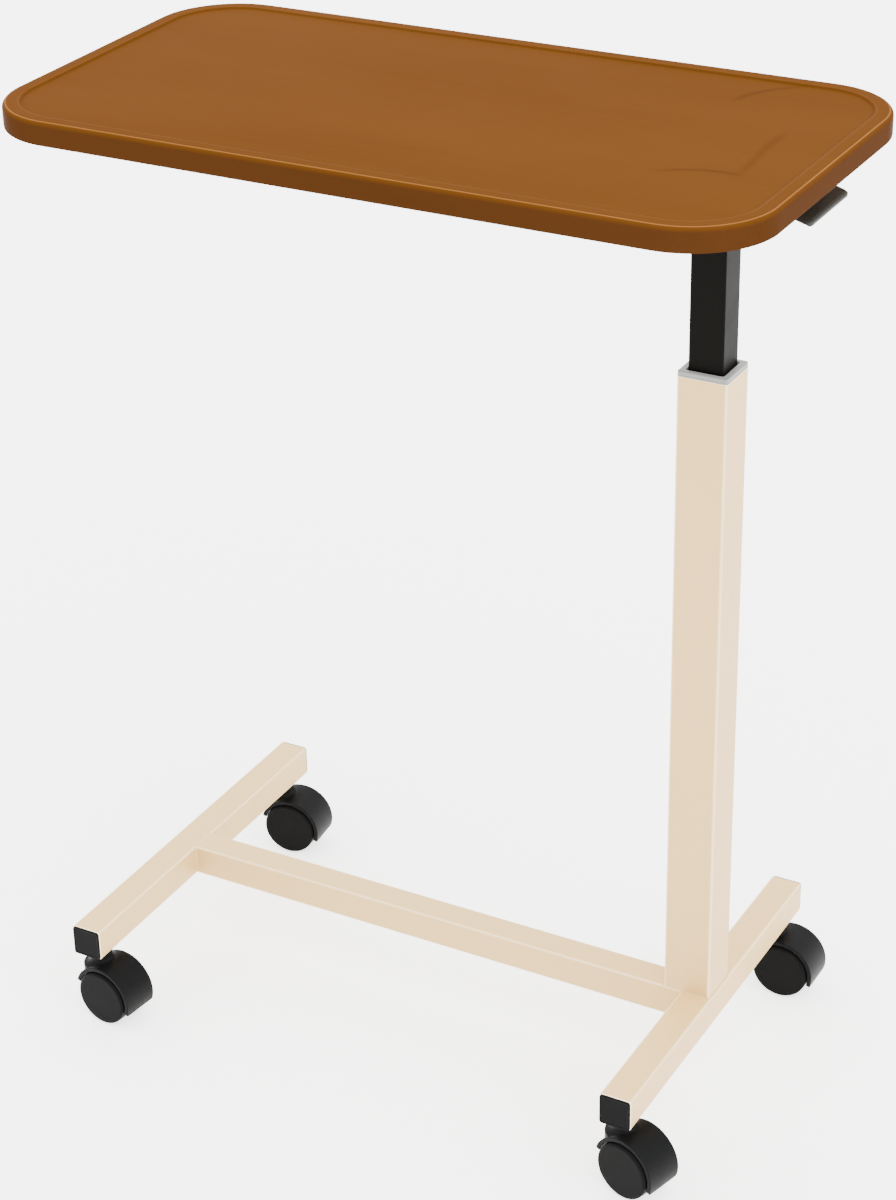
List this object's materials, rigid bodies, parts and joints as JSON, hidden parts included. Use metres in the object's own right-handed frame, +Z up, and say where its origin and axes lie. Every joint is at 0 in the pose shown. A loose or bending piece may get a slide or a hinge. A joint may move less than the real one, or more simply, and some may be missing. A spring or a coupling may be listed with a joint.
{
  "type": "overbed table",
  "caption": "Height-adjustable overbed table on casters: cantilevered wood-look top on an offset sliding column with an H-shaped steel floor frame.",
  "frame": {"origin": "on the floor under the middle of the tabletop", "axes": "+X towards the end with the column and the lever, +Y to the rear, +Z up"},
  "size_m": [0.762, 0.4312, 0.9905],
  "materials": {
    "cream_steel": "satin cream powder coat",
    "black_steel": "satin black powder coat",
    "grey_plastic": "satin light grey nylon",
    "black_plastic": "satin black moulded plastic",
    "caster_plastic": "semi-gloss black nylon",
    "wheel_plastic": "satin black nylon",
    "zinc_steel": "bright zinc plating",
    "bare_steel": "plain mild steel",
    "cylinder_black": "semi-gloss black paint",
    "chrome_rod": "polished hard chrome",
    "gland_plastic": "black acetal",
    "nylon": "natural nylon",
    "fibreboard": "raw medium density fibreboard",
    "wood_foil": "satin wood-look vinyl foil",
    "brass": "turned brass",
    "lever_steel": "semi-gloss dark grey enamel"
  },
  "bodies": {
    "base": {"left_floor_tube": "cream_steel", "right_floor_tube": "cream_steel", "cross_tube": "cream_steel", "outer_column": "cream_steel", "column_collar": "grey_plastic", "column_foot": "bare_steel", "spring_post": "bare_steel", "post_plug": "bare_steel", "gas_cylinder": "cylinder_black", "cylinder_gland": "gland_plastic", "caster_nuts": "zinc_steel", "front_left_end_cap": "black_plastic", "front_right_end_cap": "black_plastic", "rear_left_end_cap": "black_plastic", "rear_right_end_cap": "black_plastic", "front_left_caster_stem": "black_steel", "front_right_caster_stem": "black_steel", "rear_left_caster_stem": "black_steel", "rear_right_caster_stem": "black_steel"},
    "upper": {"inner_column": "black_steel", "lower_glide": "nylon", "spring_bridge": "bare_steel", "rod_nut": "zinc_steel", "piston_rod": "chrome_rod", "piston": "gland_plastic", "top_channel": "black_steel", "hinge_pin": "zinc_steel", "hinge_clip": "zinc_steel", "tabletop_board": "fibreboard", "tabletop_foil": "wood_foil", "threaded_inserts": "brass", "mounting_screws": "zinc_steel"},
    "lever": {"release_lever": "lever_steel"},
    "release_pin": {"release_pin": "bare_steel"},
    "front_left_swivel": {"front_left_caster_hood": "caster_plastic", "front_left_caster_axle": "zinc_steel"},
    "front_left_near_roller": {"front_left_caster_near_wheel": "wheel_plastic"},
    "front_left_far_roller": {"front_left_caster_far_wheel": "wheel_plastic"},
    "front_right_swivel": {"front_right_caster_hood": "caster_plastic", "front_right_caster_axle": "zinc_steel"},
    "front_right_near_roller": {"front_right_caster_near_wheel": "wheel_plastic"},
    "front_right_far_roller": {"front_right_caster_far_wheel": "wheel_plastic"},
    "rear_left_swivel": {"rear_left_caster_hood": "caster_plastic", "rear_left_caster_axle": "zinc_steel"},
    "rear_left_near_roller": {"rear_left_caster_near_wheel": "wheel_plastic"},
    "rear_left_far_roller": {"rear_left_caster_far_wheel": "wheel_plastic"},
    "rear_right_swivel": {"rear_right_caster_hood": "caster_plastic", "rear_right_caster_axle": "zinc_steel"},
    "rear_right_near_roller": {"rear_right_caster_near_wheel": "wheel_plastic"},
    "rear_right_far_roller": {"rear_right_caster_far_wheel": "wheel_plastic"}
  },
  "joints": [
    {"name": "column_slide", "type": "slide", "parent": "base", "child": "upper", "axis": [0, 0, 1], "range_m": [-0.14, 0.15]},
    {"name": "lever_squeeze", "type": "hinge", "parent": "upper", "child": "lever", "pos_m": [0.303, 0, 0.9575], "axis": [0, -1, 0], "range_deg": [0, 6], "stiffness_Nm_per_rad": 8, "springref_deg": -5.73},
    {"name": "release_pin_push", "type": "slide", "parent": "upper", "child": "release_pin", "axis": [0, 0, -1], "range_m": [0, 0.0032]},
    {"name": "front_left_swivel_turn", "type": "hinge", "parent": "base", "child": "front_left_swivel", "pos_m": [-0.325, -0.185, 0.0787], "axis": [0, 0, 1], "continuous": true},
    {"name": "front_left_near_roll", "type": "hinge", "parent": "front_left_swivel", "child": "front_left_near_roller", "pos_m": [-0.31109, -0.18659, 0.03], "axis": [0.1132, 0.9936, 0], "continuous": true},
    {"name": "front_left_far_roll", "type": "hinge", "parent": "front_left_swivel", "child": "front_left_far_roller", "pos_m": [-0.31109, -0.18659, 0.03], "axis": [0.1132, 0.9936, 0], "continuous": true},
    {"name": "front_right_swivel_turn", "type": "hinge", "parent": "base", "child": "front_right_swivel", "pos_m": [0.284, -0.185, 0.0787], "axis": [0, 0, 1], "continuous": true},
    {"name": "front_right_near_roll", "type": "hinge", "parent": "front_right_swivel", "child": "front_right_near_roller", "pos_m": [0.29752, -0.18862, 0.03], "axis": [0.2588, 0.9659, 0], "continuous": true},
    {"name": "front_right_far_roll", "type": "hinge", "parent": "front_right_swivel", "child": "front_right_far_roller", "pos_m": [0.29752, -0.18862, 0.03], "axis": [0.2588, 0.9659, 0], "continuous": true},
    {"name": "rear_left_swivel_turn", "type": "hinge", "parent": "base", "child": "rear_left_swivel", "pos_m": [-0.325, 0.185, 0.0787], "axis": [0, 0, 1], "continuous": true},
    {"name": "rear_left_near_roll", "type": "hinge", "parent": "rear_left_swivel", "child": "rear_left_near_roller", "pos_m": [-0.31108, 0.18646, 0.03], "axis": [-0.1045, 0.9945, 0], "continuous": true},
    {"name": "rear_left_far_roll", "type": "hinge", "parent": "rear_left_swivel", "child": "rear_left_far_roller", "pos_m": [-0.31108, 0.18646, 0.03], "axis": [-0.1045, 0.9945, 0], "continuous": true},
    {"name": "rear_right_swivel_turn", "type": "hinge", "parent": "base", "child": "rear_right_swivel", "pos_m": [0.284, 0.185, 0.0787], "axis": [0, 0, 1], "continuous": true},
    {"name": "rear_right_near_roll", "type": "hinge", "parent": "rear_right_swivel", "child": "rear_right_near_roller", "pos_m": [0.298, 0.185, 0.03], "axis": [0, 1, 0], "continuous": true},
    {"name": "rear_right_far_roll", "type": "hinge", "parent": "rear_right_swivel", "child": "rear_right_far_roller", "pos_m": [0.298, 0.185, 0.03], "axis": [0, 1, 0], "continuous": true}
  ],
  "couplings": [
    {"joint": "release_pin_push", "follows": "lever_squeeze", "m_per_rad": 0.0295}
  ]
}
